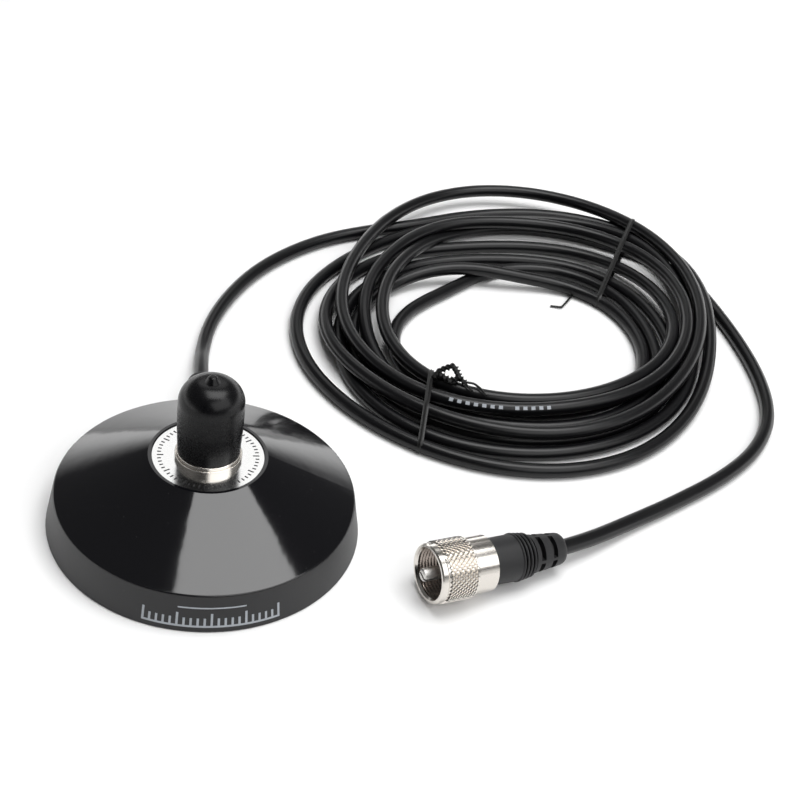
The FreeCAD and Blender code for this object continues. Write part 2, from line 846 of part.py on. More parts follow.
def make_plug_body():
    body = new_body("plug_body")
    back = "nut_length + boot_gap + boot_recess"
    turned(body, "plug_turning", [
        ("0", "body_bore_end"),
        ("body_bore", "body_bore_end"),
        ("body_bore", "body_sleeve_front"),
        ("body_sleeve_radius", "body_sleeve_front"),
        ("body_sleeve_radius", "body_shoulder_front"),
        ("body_shoulder_radius", "body_shoulder_front"),
        ("body_shoulder_radius", "body_shoulder_front + body_shoulder_length"),
        ("body_neck_radius", "body_shoulder_front + body_shoulder_length"),
        ("body_neck_radius", back),
        ("0", back),
    ])
    key = new_sketch(body, "key_outline", "XY_Plane")
    lift(key, "body_sleeve_front")
    outline(key, [
        ("body_bore - 1", "-body_key_width / 2"),
        ("body_sleeve_radius + 1", "-body_key_width / 2"),
        ("body_sleeve_radius + 1", "body_key_width / 2"),
        ("body_bore - 1", "body_key_width / 2"),
    ])
    cut = sunk(body, "key", key, "body_key_depth", reverse=True)
    around(body, "keys", [cut], "body_key_count")
    body.Placement = plug_place()
    return body


def make_plug_insulator():
    body = new_body("plug_insulator")
    turned(body, "bead", [
        ("pin_root_radius + close_fit", "insulator_front"),
        ("body_bore - close_fit", "insulator_front"),
        ("body_bore - close_fit", "body_bore_end - close_fit"),
        ("pin_root_radius + close_fit", "body_bore_end - close_fit"),
    ])
    body.Placement = plug_place()
    return body


def make_pin():
    body = new_body("plug_pin")
    turned(body, "pin", [
        ("0", "pin_tip"),
        ("pin_radius", "pin_tip"),
        ("pin_radius", "insulator_front"),
        ("pin_root_radius", "insulator_front"),
        ("pin_root_radius", "body_bore_end - close_fit"),
        ("0", "body_bore_end - close_fit"),
    ])
    rounded(body, "pin_nose", [("pin_radius", "pin_tip")], "pin_tip_round")
    slot = new_sketch(body, "pin_slot_outline", "XY_Plane")
    lift(slot, "pin_tip")
    outline(slot, [
        ("-pin_radius - 1", "-pin_slot_width / 2"),
        ("pin_radius + 1", "-pin_slot_width / 2"),
        ("pin_radius + 1", "pin_slot_width / 2"),
        ("-pin_radius - 1", "pin_slot_width / 2"),
    ])
    sunk(body, "pin_slot", slot, "pin_slot_depth", reverse=True)
    body.Placement = plug_place()
    return body


def make_crimp_sleeve():
    body = new_body("crimp_sleeve")
    front = "nut_length + boot_gap + boot_recess"
    turned(body, "crimp", [
        ("sleeve_bore", front),
        ("sleeve_radius", front),
        ("sleeve_radius", front + " + sleeve_length"),
        ("sleeve_bore", front + " + sleeve_length"),
    ])
    body.Placement = plug_place()
    return body


def make_boot():
    """Moulded boot: plain grip, fine ridges, and a slotted tail that bends with the lead."""
    body = new_body("plug_boot")
    front = "(nut_length + boot_gap)"
    seat = "(nut_length + boot_gap + boot_recess)"
    sleeve_end = "(nut_length + boot_gap + boot_recess + sleeve_length)"
    turned(body, "boot", [
        ("body_neck_radius + close_fit", front),
        ("boot_radius", front),
        ("boot_radius", "boot_ridge_start"),
        ("boot_ridge_radius", "boot_ridge_start"),
        ("boot_ridge_radius", "boot_ridge_start + boot_ridge_pitch"),
        ("boot_tail_radius + 0.4", "boot_tail_start"),
        ("boot_tail_radius", "boot_tail_start"),
        ("boot_end_radius", "boot_length"),
        ("0", "boot_length"),
        ("0", sleeve_end),
        ("sleeve_radius + close_fit", sleeve_end),
        ("sleeve_radius + close_fit", seat),
        ("body_neck_radius + close_fit", seat),
    ])
    rounded(body, "boot_end", [("boot_end_radius", "boot_length")], "boot_end_round")
    first = "(boot_ridge_start + boot_ridge_pitch - boot_ridge_groove)"
    groove = turned(body, "ridge_groove", [
        ("boot_tail_radius", first),
        ("boot_ridge_radius + 1", first),
        ("boot_ridge_radius + 1", first + " + boot_ridge_groove"),
        ("boot_tail_radius", first + " + boot_ridge_groove"),
    ], groove=True)
    along(body, "ridge_grooves", [groove], "boot_ridge_count", "boot_ridge_pitch")
    slot_sketch = new_sketch(body, "slot_outline")
    outline(slot_sketch, [
        ("boot_slot_floor", "boot_slot_first"),
        ("boot_tail_radius + 1", "boot_slot_first"),
        ("boot_tail_radius + 1", "boot_slot_first + boot_slot_width"),
        ("boot_slot_floor", "boot_slot_first + boot_slot_width"),
    ])
    slot = body.newObject("PartDesign::Groove", "slot")
    slot.Profile = slot_sketch
    slot.ReferenceAxis = (slot_sketch, ["V_Axis"])
    slot.Midplane = True
    slot.Angle = value("boot_slot_angle")
    slot.setExpression("Angle", tied("boot_slot_angle"))
    doc.recompute()
    body.Tip = slot
    slots = body.newObject("PartDesign::MultiTransform", "slots")
    slots.Originals = [slot]
    rows = body.newObject("PartDesign::LinearPattern", "slot_rows")
    rows.Direction = (origin_plane(body, "Z_Axis"), [""])
    rows.setExpression("Length", tied("boot_slot_pitch * (boot_slot_rows - 1)"))
    rows.setExpression("Occurrences", tied("boot_slot_rows"))
    turns = body.newObject("PartDesign::PolarPattern", "slot_turns")
    turns.Axis = (origin_plane(body, "Z_Axis"), [""])
    turns.Angle = 360
    turns.setExpression("Occurrences", tied("boot_slots_around"))
    slots.Transformations = [rows, turns]
    body.Tip = slots
    doc.recompute()
    body.Placement = plug_place(45)
    return body


def tie_loop(name, centre, heading, span, clearance=0.0):
    """The strap of a tie as a flat band bent round the coil, and the block that it encloses."""
    thick = value("tie_thick")
    low = thick
    high = value("tie_level")
    width = value("tie_width") + 2 * clearance
    outer = Part.makeBox(span + 2 * thick + 2 * clearance, width, high - low + 2 * thick + 2 * clearance)
    outer.translate(Vector(-span / 2 - thick - clearance, -width / 2, low - thick - clearance))
    inner = Part.makeBox(span - 2 * clearance, width * 3, high - low - 2 * clearance)
    inner.translate(Vector(-span / 2 + clearance, -width * 1.5, low + clearance))
    corner = value("tie_round")
    outer = outer.makeFillet(corner, [e for e in outer.Edges if is_crosswise(e, width)])
    inner = inner.makeFillet(corner - thick, [e for e in inner.Edges if is_crosswise(e, width * 3)])
    band = outer.cut(inner)
    band.rotate(Vector(0, 0, 0), Vector(0, 0, 1), heading)
    band.translate(Vector(centre[0], centre[1], 0))
    return band


def is_crosswise(edge, width):
    """True for an edge that runs along Y and is as long as the band is wide."""
    way = edge.Vertexes[1].Point - edge.Vertexes[0].Point
    return abs(abs(way.y) - width) < 1e-6 and abs(way.x) < 1e-6 and abs(way.z) < 1e-6


# Where each tie goes round the coil: centre, heading of its long side and the width that it spans
TIES = {
    "twist_tie_front": ((76.1, 51.0), 76.6, 38.0),
    "twist_tie_back": ((170.7, 152.8), 62.8, 62.2),
}

# The twisted ends of each tie, from the inner side of its loop
TIE_TAILS = {
    "twist_tie_front": [(80.6, 69.6, 9.5), (84.5, 72.0, 11.0), (89.5, 70.0, 9.6), (95.0, 65.5, 7.5)],
    "twist_tie_back": [(156.3, 124.8, 3.0), (152.0, 128.5, 2.4), (147.0, 129.3, 1.8), (141.5, 125.0, 1.2)],
}

# The outline of the coil, one spot every 30 degrees about its middle: inner and outer edge
COIL_EDGES = [
    (43.0, 79.0),
    (40.5, 94.0),
    (34.0, 103.0),
    (31.5, 103.0),
    (33.0, 86.5),
    (34.5, 81.0),
    (43.5, 88.0),
    (52.0, 89.5),
    (51.5, 87.5),
    (47.0, 85.5),
    (46.5, 78.5),
    (46.0, 74.0),
]

# The stretch from the base to the coil, and the stretch from the coil to the plug
LEAD_OUT = [
    (0.0, 62.5, 6.2),
    (0.2, 72.5, 5.2),
    (1.0, 86.0, 2.5),
    (4.0, 102.5, 2.5),
    (11.0, 120.5, 2.5),
    (21.5, 138.5, 2.5),
    (35.5, 153.8, 2.5),
    (52.5, 166.4, 2.5),
    (72.0, 174.6, 2.5),
    (89.0, 179.5, 2.5),
]

LEAD_IN = [
    (201.5, 146.0, 2.5),
    (205.3, 126.0, 2.5),
    (208.3, 103.0, 2.5),
    (208.9, 79.0, 2.5),
    (205.0, 55.5, 2.5),
    (193.5, 36.0, 2.5),
    (176.0, 20.5, 2.5),
    (153.5, 6.6, 2.5),
    (136.0, -3.2, 3.0),
    (118.5, -14.2, 5.2),
]


def make_cord():
    diameter = value("cable_diameter")
    plain_node("lead_to_coil", tube_shape("lead_to_coil", LEAD_OUT, diameter))
    last = plug_front + plug_axis * value("boot_length")
    way = LEAD_IN + [(last.x, last.y, last.z)]
    plain_node("lead_to_plug", tube_shape("lead_to_plug", way, diameter))


def coil_edge(side):
    """A closed smooth curve through one edge of the coil, on the table."""
    spots = []
    for number, radii in enumerate(COIL_EDGES):
        turn = 2 * math.pi * number / len(COIL_EDGES)
        across = value("coil_across") + radii[side] * math.cos(turn)
        spots.append(Vector(across, value("coil_along") + radii[side] * math.sin(turn), 0))
    curve = Part.BSplineCurve()
    curve.interpolate(Points=spots, PeriodicFlag=True)
    return Part.Wire([curve.toShape()])


def make_coil():
    """The outer shape of the bundle of turns, with a shallow groove where each tie grips it."""
    height = value("coil_height")
    whole = Part.Face(coil_edge(1)).extrude(Vector(0, 0, height))
    whole = whole.cut(Part.Face(coil_edge(0)).extrude(Vector(0, 0, height)))
    tops = [e for e in whole.Edges if e.BoundBox.ZMin > height / 2]
    shape = whole.makeFillet(value("coil_top_round"), tops)
    feet = [e for e in shape.Edges if e.BoundBox.ZLength < 1e-3 and e.BoundBox.ZMax < 1e-3]
    shape = shape.makeFillet(value("coil_foot_round"), feet)
    for name, (centre, heading, span) in TIES.items():
        shape = shape.cut(tie_loop(name, centre, heading, span, value("close_fit")))
    solids = sorted(shape.Solids, key=lambda s: s.Volume)
    plain_node("cable_coil", solids[-1])


def make_ties():
    for name, (centre, heading, span) in TIES.items():
        loop = tie_loop(name, centre, heading, span)
        tail = tube_shape(name + " tail", TIE_TAILS[name], value("tie_wire_diameter"))
        plain_node(name, loop.fuse(tail).removeSplitter())


make_cover()
make_pad()
make_magnet()
make_plate()
make_screws()
make_socket()
make_washer()
make_tag()
make_disc()
make_collar()
make_socket_insulator()
make_contact()
make_cap()
make_exit()
make_inner_lead()
make_nut()
make_plug_body()
make_plug_insulator()
make_pin()
make_crimp_sleeve()
make_boot()
make_coil()
make_ties()
make_cord()
doc.recompute()

NODES = [
    "base_cover", "bottom_pad", "ring_magnet", "steel_plate", "plate_screws",
    "socket_body", "lock_washer", "ground_tag", "label_disc", "collar_nut",
    "socket_insulator", "socket_contact", "dust_cap", "cable_exit_boot",
    "core_insulation", "centre_wire", "braid_tail",
    "lead_to_coil", "cable_coil", "lead_to_plug", "twist_tie_front", "twist_tie_back",
    "coupling_nut", "plug_body", "plug_insulator", "plug_pin", "crimp_sleeve", "plug_boot",
]

for item in doc.Objects:
    if "Invalid" in item.State or "Error" in item.State:
        raise RuntimeError(item.Name + " failed: " + ", ".join(item.State))

for name in NODES:
    node = doc.getObject(name)
    shape = node.Shape
    if shape.isNull() or not shape.isValid():
        raise RuntimeError(name + " has no valid shape")
    shape.exportStep("parts/" + name + ".step")
    print("%s: %d solid(s), %.1f mm3" % (name, len(shape.Solids), shape.Volume))

print("plug front at %.3f %.3f %.3f" % (plug_front.x, plug_front.y, plug_front.z))
print("plug axis %.5f %.5f %.5f" % (plug_axis.x, plug_axis.y, plug_axis.z))
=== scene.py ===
import bmesh
import bpy
import math
import numpy as np
from mathutils import Matrix, Vector
from mathutils.geometry import convex_hull_2d


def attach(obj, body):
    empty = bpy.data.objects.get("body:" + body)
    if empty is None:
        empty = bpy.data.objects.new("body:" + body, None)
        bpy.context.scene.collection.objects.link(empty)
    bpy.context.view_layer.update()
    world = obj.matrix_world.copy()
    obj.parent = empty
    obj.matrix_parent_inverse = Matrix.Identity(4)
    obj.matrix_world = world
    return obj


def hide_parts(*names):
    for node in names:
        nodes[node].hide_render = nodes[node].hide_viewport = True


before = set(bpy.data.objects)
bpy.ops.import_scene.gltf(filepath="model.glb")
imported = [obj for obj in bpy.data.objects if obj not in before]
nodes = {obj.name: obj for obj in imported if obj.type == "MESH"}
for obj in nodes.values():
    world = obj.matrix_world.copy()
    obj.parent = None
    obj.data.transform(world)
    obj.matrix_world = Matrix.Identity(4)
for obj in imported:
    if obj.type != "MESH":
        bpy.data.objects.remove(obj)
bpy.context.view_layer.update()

# Magnetic antenna mount with its coaxial lead and plug, on the part's own axes
# The camera, the lights and the lead's points are in metres, and each small piece is drawn in millimetres
mm = 0.001

# Camera: the photograph's view, from the left of the plug and above the mount
camera_data = bpy.data.cameras.new("camera")
camera_data.lens = 64.18
camera_data.sensor_width = 36
camera_data.clip_start = 0.01
camera_data.clip_end = 20
camera = bpy.data.objects.new("camera", camera_data)
bpy.context.scene.collection.objects.link(camera)
heading = Matrix.Rotation(math.radians(-13), 4, "Z")
pitch = Matrix.Rotation(math.radians(90 - 36.53), 4, "X")
tilt = Matrix.Rotation(math.radians(9.13), 4, "Z")
camera.matrix_world = Matrix.Translation((-0.02099, -0.32921, 0.29813)) @ heading @ pitch @ tilt
bpy.context.scene.camera = camera

# The lead from the base to the coil
LEAD_OUT = [
    (0.0, 0.0625, 0.0062), (0.0002, 0.0725, 0.0052), (0.001, 0.086, 0.0025), (0.004, 0.1025, 0.0025),
    (0.011, 0.1205, 0.0025), (0.0215, 0.1385, 0.0025), (0.0355, 0.1538, 0.0025), (0.0525, 0.1664, 0.0025),
    (0.072, 0.1746, 0.0025), (0.089, 0.1795, 0.0025),
]

# The coil, a row for each turn, clockwise from its far side in eighths of a turn
# Each pair is the distance from the coil's middle in millimetres and how many strands lie below
COIL_MIDDLE = (0.121, 0.105)
COIL_TURNS = [
    [(90.5, 0), (99, 0.4), (74, 0.8), (73, 0), (84, 0), (86.5, 0), (87.5, 0), (75, 0)],
    [(83.5, 0), (91, 0.5), (68.5, 0.1), (67, 0), (73.5, 0), (81.5, 0), (70, 0), (57, 0)],
    [(49.5, 0), (59.5, 0), (58, 0), (61.5, 0), (66.5, 0), (73, 0), (64, 0), (48.5, 0.7)],
    [(32, 0.7), (42.5, 0), (46.5, 0), (50.5, 0), (51, 0), (58, 0), (49, 0), (34, 0)],
    [(43, 0), (53, 0), (50.5, 0), (56.5, 0), (59.5, 0), (65.5, 0), (60.5, 0.6), (62, 0.8)],
    [(70, 1), (82, 1.1), (66, 1.4), (55.5, 1.1), (55, 1.1), (67, 1), (69, 1), (74, 1.1)],
    [(104, 0.8), (97, 1.2), (70, 1.4), (62.5, 1), (69, 0.9), (74.5, 1), (75.5, 0.2), (68, 0)],
    [(60.5, 0), (70.5, 0.3), (61, 0.9), (50.5, 1), (49.5, 0.9), (58.5, 1), (53.5, 1), (56, 0.9)],
    [(75.5, 0), (87, 0)],
]
EIGHTH_TURN = 45
POINTS_AN_EIGHTH = 3

# The lead from the coil to the plug's boot
LEAD_IN = [
    (0.2015, 0.146, 0.0025), (0.2053, 0.126, 0.0025), (0.2083, 0.103, 0.0025), (0.2089, 0.079, 0.0025),
    (0.205, 0.0555, 0.0025), (0.1935, 0.036, 0.0025), (0.176, 0.0205, 0.0025), (0.1535, 0.0066, 0.0025),
    (0.136, -0.0032, 0.003), (0.1185, -0.0142, 0.0052), (0.10779, -0.01939, 0.00669),
]

lead_radius = 2.5 * mm
strand_gap = 5.05 * mm

# How the turns settle: strands that touch are pushed apart, and each point is drawn back to its place
# A strand isn't pushed by its own next spans, and each round evens its bends out a little
settling_rounds = 300
samples_a_span = 6
spans_let_off = 7
push_gain = 2.2
draw_back = (0.03, 0.03, 0.045)
evening = 0.08
tiny = 1e-9


def coil_points():
    """The turns as they are laid down, with the rows' distances and layers joined smoothly."""
    stations = [pair for turn in COIL_TURNS for pair in turn]
    last = len(stations) - 1
    spots = []
    for step in range(last * POINTS_AN_EIGHTH + 1):
        here, part = divmod(step, POINTS_AN_EIGHTH)
        part /= POINTS_AN_EIGHTH
        before, start, end, after = [
            Vector(stations[min(max(here + shift, 0), last)]) for shift in (-1, 0, 1, 2)]
        slope = (end - before) / 2
        bend = before - start * 2.5 + end * 2 - after / 2
        twist = (start * 3 - before - end * 3 + after) / 2
        reach, layer = start + slope * part + bend * part ** 2 + twist * part ** 3
        way = math.radians(90 - EIGHTH_TURN * (here + part))
        across = COIL_MIDDLE[0] + reach * mm * math.cos(way)
        along = COIL_MIDDLE[1] + reach * mm * math.sin(way)
        spots.append((across, along, lead_radius * (1 + 2 * max(layer, 0))))
    return spots


def spline_shares(count):
    """For each sample of a smooth line with pinned ends, its first point and the shares of three points."""
    firsts = []
    shares = []
    for span in range(count - 2):
        for sample in range(samples_a_span):
            part = sample / samples_a_span
            start = (1 - part) ** 2 / (1 if span == 0 else 2)
            end = part ** 2 / (1 if span == count - 3 else 2)
            firsts.append(span)
            shares.append((start, 1 - start - end, end))
    return np.array(firsts), np.array(shares)


def settle(spots, first_loose, last_loose):
    """Lets crossing turns push each other aside to the lead's thickness, on the floor and bent evenly."""
    spots = np.array(spots)
    laid = spots.copy()
    firsts, shares = spline_shares(len(spots))
    loose = np.zeros((len(spots), 1))
    loose[first_loose:last_loose] = 1
    order = np.arange(len(firsts))
    apart = np.triu(order[None] - order[:, None] > spans_let_off * samples_a_span)
    for _ in range(settling_rounds):
        line = sum(spots[firsts + k] * shares[:, k:k + 1] for k in range(3))
        squares = (line ** 2).sum(1)
        gaps = squares[:, None] + squares[None] - 2 * line @ line.T
        one, other = np.nonzero((gaps < strand_gap ** 2) & apart)
        between = line[one] - line[other]
        distance = np.linalg.norm(between, axis=1, keepdims=True) + tiny
        shove = between / distance * (strand_gap - distance) / 2
        push = np.zeros_like(line)
        meetings = np.zeros((len(line), 1))
        for sample, way in ((one, 1), (other, -1)):
            np.add.at(push, sample, way * shove)
            np.add.at(meetings, sample, 1)
        push /= np.maximum(meetings, 1)
        push[:, 2] += np.maximum(lead_radius - line[:, 2], 0)
        move = np.zeros_like(spots)
        weight = np.zeros((len(spots), 1))
        for k in range(3):
            np.add.at(move, firsts + k, push * shares[:, k:k + 1] * push_gain)
            np.add.at(weight, firsts + k, shares[:, k:k + 1])
        spots += loose * (move / np.maximum(weight, tiny) + (laid - spots) * draw_back)
        bow = np.zeros_like(spots)
        bow[1:-1] = (spots[:-2] + spots[2:]) / 2 - spots[1:-1]
        uneven = bow.copy()
        uneven[1:-1] -= (bow[:-2] + bow[2:]) / 2
        spots += loose * uneven * evening
        spots[:, 2] = np.maximum(spots[:, 2], lead_radius)
    return spots.tolist()


turns = coil_points()
lead_points = settle(LEAD_OUT + turns + LEAD_IN, len(LEAD_OUT), len(LEAD_OUT) + len(turns))


def lead_curve(name, thickness):
    """The whole lead as one smooth open spline."""
    data = bpy.data.curves.new(name, "CURVE")
    data.dimensions = "3D"
    data.resolution_u = 10
    data.bevel_depth = thickness
    data.bevel_resolution = 5
    data.use_fill_caps = thickness > 0
    spline = data.splines.new("NURBS")
    spline.points.add(len(lead_points) - 1)
    for point, spot in zip(spline.points, lead_points):
        point.co = (*spot, 1)
    spline.order_u = 3
    spline.use_endpoint_u = True
    piece = bpy.data.objects.new(name, data)
    bpy.context.scene.collection.objects.link(piece)
    return piece


lead = lead_curve("coax_lead", lead_radius)
line_curve = lead_curve("lead_line", 0)
line_mesh = bpy.data.meshes.new_from_object(line_curve)
lead_line = [v.co / mm for v in line_mesh.vertices]
bpy.data.objects.remove(line_curve)


def linear(code):
    """The linear colour of an sRGB hex code."""
    levels = [int(code[i:i + 2], 16) / 255 for i in (1, 3, 5)]
    return [c / 12.92 if c <= 0.04045 else ((c + 0.055) / 1.055) ** 2.4 for c in levels] + [1.0]


def add(tree, kind, inputs=(), **settings):
    """Adds one node with its settings. Each input is given a value, or linked to another node's output."""
    node = tree.nodes.new("ShaderNode" + kind)
    for name, setting in settings.items():
        setattr(node, name, setting)
    for name, given in dict(inputs).items():
        if isinstance(given, bpy.types.NodeSocket):
            tree.links.new(given, node.inputs[name])
        else:
            node.inputs[name].default_value = given
    return node


def bare_material(name):
    """An empty material and its node tree."""
    material = bpy.data.materials.new(name)
    material.use_nodes = True
    material.node_tree.nodes.clear()
    return material, material.node_tree


def grained(name, colour, rough, spread, grain, depth, **surface):
    """A finish whose grain, with its size and depth in millimetres, also varies the gloss."""
    material, tree = bare_material(name)
    place = add(tree, "TexCoord").outputs["Object"]
    grit = add(tree, "TexNoise", {"Vector": place, "Scale": 1 / (grain * mm), "Detail": 3.0}).outputs["Fac"]
    gloss = add(tree, "MapRange", {"Value": grit, "To Min": rough - spread, "To Max": rough + spread})
    bump = add(tree, "Bump", {"Height": grit, "Distance": depth * mm})
    look = {socket.replace("_", " "): given for socket, given in surface.items()}
    look.update({"Base Color": linear(colour), "Roughness": gloss.outputs["Result"]})
    look["Normal"] = bump.outputs["Normal"]
    shader = add(tree, "BsdfPrincipled", look)
    add(tree, "OutputMaterial", {"Surface": shader.outputs["BSDF"]})
    return material


cone_foot = 12.1


# ABS, injection moulded: the polished cone mirrors the lights, and the skirt below it is satin
# The mould's flow leaves swells 9 mm wide. The skirt's grit is under 0.1 mm and drawn at 0.25 mm to show
# Specks of dust lie about 2.6 mm apart. Inputs 6 and 7 of the mix are its two colours
def moulded_cover():
    material, tree = bare_material("moulded_gloss_abs")
    place = add(tree, "TexCoord").outputs["Object"]
    level = add(tree, "SeparateXYZ", {"Vector": place}).outputs["Z"]
    cone = add(tree, "MapRange", {
        "Value": level, "From Min": (cone_foot - 0.3) * mm, "From Max": (cone_foot + 0.3) * mm})
    flow = add(tree, "TexNoise", {"Vector": place, "Scale": 1 / (9 * mm), "Detail": 2.0}).outputs["Fac"]
    grit = add(tree, "TexNoise", {"Vector": place, "Scale": 1 / (0.25 * mm), "Detail": 4.0}).outputs["Fac"]
    satin = add(tree, "MapRange", {"Value": grit, "To Min": 0.38, "To Max": 0.54}).outputs["Result"]
    polish = add(tree, "MapRange", {"Value": flow, "To Min": 0.06, "To Max": 0.1}).outputs["Result"]
    gloss = add(tree, "Mix", {"Factor": cone.outputs["Result"], "A": satin, "B": polish})
    bump = add(tree, "Bump", {"Height": flow, "Distance": 0.048 * mm})
    specks = add(tree, "TexVoronoi", {"Vector": place, "Scale": 1 / (2.6 * mm)}).outputs["Distance"]
    dust = add(tree, "MapRange", {"Value": specks, "From Min": 0.045, "From Max": 0.02})
    colour = add(tree, "Mix", {
        "Factor": dust.outputs["Result"], 6: linear("#0b0b0e"), 7: linear("#4a4a4a")}, data_type="RGBA")
    shader = add(tree, "BsdfPrincipled", {
        "Base Color": colour.outputs[2], "Roughness": gloss.outputs[0], "IOR": 1.53,
        "Normal": bump.outputs["Normal"]})
    add(tree, "OutputMaterial", {"Surface": shader.outputs["BSDF"]})
    return material


# Bright aluminium, turned: fine rings round the socket's axis smear its mirror image
# The lathe's feed is about 0.05 mm, and the rings are drawn at 0.15 mm to show
def turned_disc():
    material, tree = bare_material("turned_bright_aluminium")
    place = add(tree, "TexCoord").outputs["Object"]
    from_axis = add(tree, "VectorMath", {0: place, 1: (1, 1, 0)}, operation="MULTIPLY").outputs["Vector"]
    reach = add(tree, "VectorMath", {0: from_axis}, operation="LENGTH").outputs["Value"]
    feed = add(tree, "TexNoise", {"W": reach, "Scale": 1 / (0.15 * mm)}, noise_dimensions="1D")
    rings = feed.outputs["Fac"]
    gloss = add(tree, "MapRange", {"Value": rings, "To Min": 0.12, "To Max": 0.24})
    bump = add(tree, "Bump", {"Height": rings, "Distance": 0.002 * mm})
    shader = add(tree, "BsdfPrincipled", {
        "Base Color": linear("#e4e4e3"), "Metallic": 1.0, "Roughness": gloss.outputs["Result"],
        "Normal": bump.outputs["Normal"]})
    add(tree, "OutputMaterial", {"Surface": shader.outputs["BSDF"]})
    return material


# Colour, roughness, its spread, and the grain's size and depth in millimetres
# The grain of moulded, ground and plated surfaces is finer than 0.1 mm and drawn at the size given to show
FINISHES = {
    "gloss_black": moulded_cover(),
    "bright_disc": turned_disc(),
    # Rubber sheet, calendered: a dull even black
    "pad_rubber": grained("calendered_rubber", "#1b1b1b", 0.8, 0.06, 0.4, 0.02, IOR=1.52),
    # Ferrite, sintered and ground: a dark grey stone with a faint shine
    "ferrite": grained("sintered_ferrite", "#37373a", 0.55, 0.1, 0.3, 0.02, IOR=2.2),
    # Mild steel, zinc plated: a blue-grey metal with a soft spangle, about 1 mm wide
    "zinc_steel": grained("zinc_plated_steel", "#b4b7ba", 0.34, 0.08, 1.2, 0.004, Metallic=1.0),
    # Brass, nickel plated and bright: a warm mirror, hardly grained
    "nickel": grained("bright_nickel_plate", "#dcd7d0", 0.19, 0.03, 0.4, 0.001, Metallic=1.0),
    # Polyethylene, moulded: a milky white that is a little waxy
    "white_insulator": grained("moulded_polyethylene", "#e6e6dd", 0.42, 0.05, 0.5, 0.004, IOR=1.51),
    # Brass, silver plated and unpolished: a frosted pale grey
    "contact_brass": grained("frosted_silver_plate", "#d2d0cd", 0.42, 0.08, 0.25, 0.012, Metallic=1.0),
    # Soft PVC, dip moulded: a satin black that blurs the lights
    "cap_vinyl": grained(
        "dipped_soft_pvc", "#08080a", 0.27, 0.03, 0.6, 0.001, IOR=1.53, Specular_IOR_Level=0.22),
    # Flexible PVC, injection moulded: a finely spark-eroded matt black
    "boot_vinyl": grained(
        "moulded_flexible_pvc", "#141416", 0.5, 0.06, 0.18, 0.012, IOR=1.53, Specular_IOR_Level=0.4),
    # PVC, extruded: a smooth black jacket with a long soft highlight, hardly waved by the die
    "cable_jacket": grained(
        "extruded_pvc_jacket", "#0a0a0c", 0.3, 0.03, 1.6, 0.0006, IOR=1.53, Specular_IOR_Level=0.3),
    # Copper, tinned: a pale dull metal
    "tinned_wire": grained("tinned_copper", "#bdb8b0", 0.36, 0.08, 0.3, 0.006, Metallic=1.0),
    # PVC, extruded flat over a soft wire: a plain black with a slight shine
    "tie_plastic": grained(
        "extruded_pvc_tape", "#0e0e0e", 0.42, 0.06, 0.5, 0.006, IOR=1.53, Specular_IOR_Level=0.35),
}
# Ink, pad printed: flat and matt
pale_ink = grained("pad_printed_pale_ink", "#a3a8ae", 0.6, 0.04, 0.3, 0.002, IOR=1.5)
black_ink = grained("pad_printed_black_ink", "#1a1a1b", 0.6, 0.04, 0.3, 0.002, IOR=1.5)
# Nickel inside the nut, painted darker and brownish as shade where little light comes, and with a duller
# gloss
painted_shade_bore = grained("nickel_with_painted_shade_bore", "#a1968e", 0.28, 0.05, 0.4, 0.002, Metallic=1.0)
# Phenolic, moulded: a deep brown with a soft shine
phenolic = grained("moulded_phenolic", "#2b1a14", 0.4, 0.05, 0.4, 0.004, IOR=1.6)

for node in nodes.values():
    for index, material in enumerate(node.data.materials):
        node.data.materials[index] = FINISHES[material.name.split(".")[0]]
nodes["plug_insulator"].data.materials[0] = phenolic
lead.data.materials.append(FINISHES["cable_jacket"])


# Points that lie closer than this are one point, and edges that turn more than this stay sharp
weld_distance = 0.0005
real_edge = math.radians(32)


def new_piece(name, mesh, material, body, place=Matrix.Identity(4)):
    """Turns a mesh drawn in millimetres into a piece of the scene, shaded smooth up to its real edges."""
    bmesh.ops.remove_doubles(mesh, verts=mesh.verts, dist=weld_distance)
    bmesh.ops.recalc_face_normals(mesh, faces=mesh.faces)
    mesh.transform(place @ Matrix.Scale(mm, 4))
    data = bpy.data.meshes.new(name)
    mesh.to_mesh(data)
    mesh.free()
    data.shade_smooth()
    data.set_sharp_from_angle(angle=real_edge)
    data.materials.append(material)
    piece = bpy.data.objects.new(name, data)
    bpy.context.scene.collection.objects.link(piece)
    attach(piece, body)
    return piece


def lathe(mesh, rows, around, closed=True):
    """A wall turned about the Z axis. A row is a radius, or a rule that gives it, and a level."""
    rings = []
    for radius, level in rows:
        ring = []
        for k in range(around):
            angle = 2 * math.pi * k / around
            reach = radius(angle, level) if callable(radius) else radius
            ring.append(mesh.verts.new((reach * math.cos(angle), reach * math.sin(angle), level)))
        rings.append(ring)
    pairs = list(zip(rings, rings[1:]))
    if closed:
        pairs.append((rings[-1], rings[0]))
    for one, other in pairs:
        for k in range(around):
            after = (k + 1) % around
            mesh.faces.new((one[k], one[after], other[after], other[k]))
    return rings


cutter_length = 20


def cut_across(piece, width, depth, place):
    """Cuts a straight slot, in millimetres, through the middle of a turned piece."""
    slot_mesh = bmesh.new()
    bmesh.ops.create_cube(slot_mesh, size=mm, matrix=Matrix.Diagonal((cutter_length, width, depth, 1)))
    slot_mesh.transform(place)
    slot_data = bpy.data.meshes.new("slot")
    slot_mesh.to_mesh(slot_data)
    slot_mesh.free()
    bar = bpy.data.objects.new("slot", slot_data)
    bpy.context.scene.collection.objects.link(bar)
    cut = piece.modifiers.new("slot", "BOOLEAN")
    cut.object = bar
    cut.operation = "DIFFERENCE"
    cut.solver = "EXACT"
    whole = piece.evaluated_get(bpy.context.evaluated_depsgraph_get())
    piece.data = bpy.data.meshes.new_from_object(whole)
    piece.modifiers.clear()
    bpy.data.objects.remove(bar)


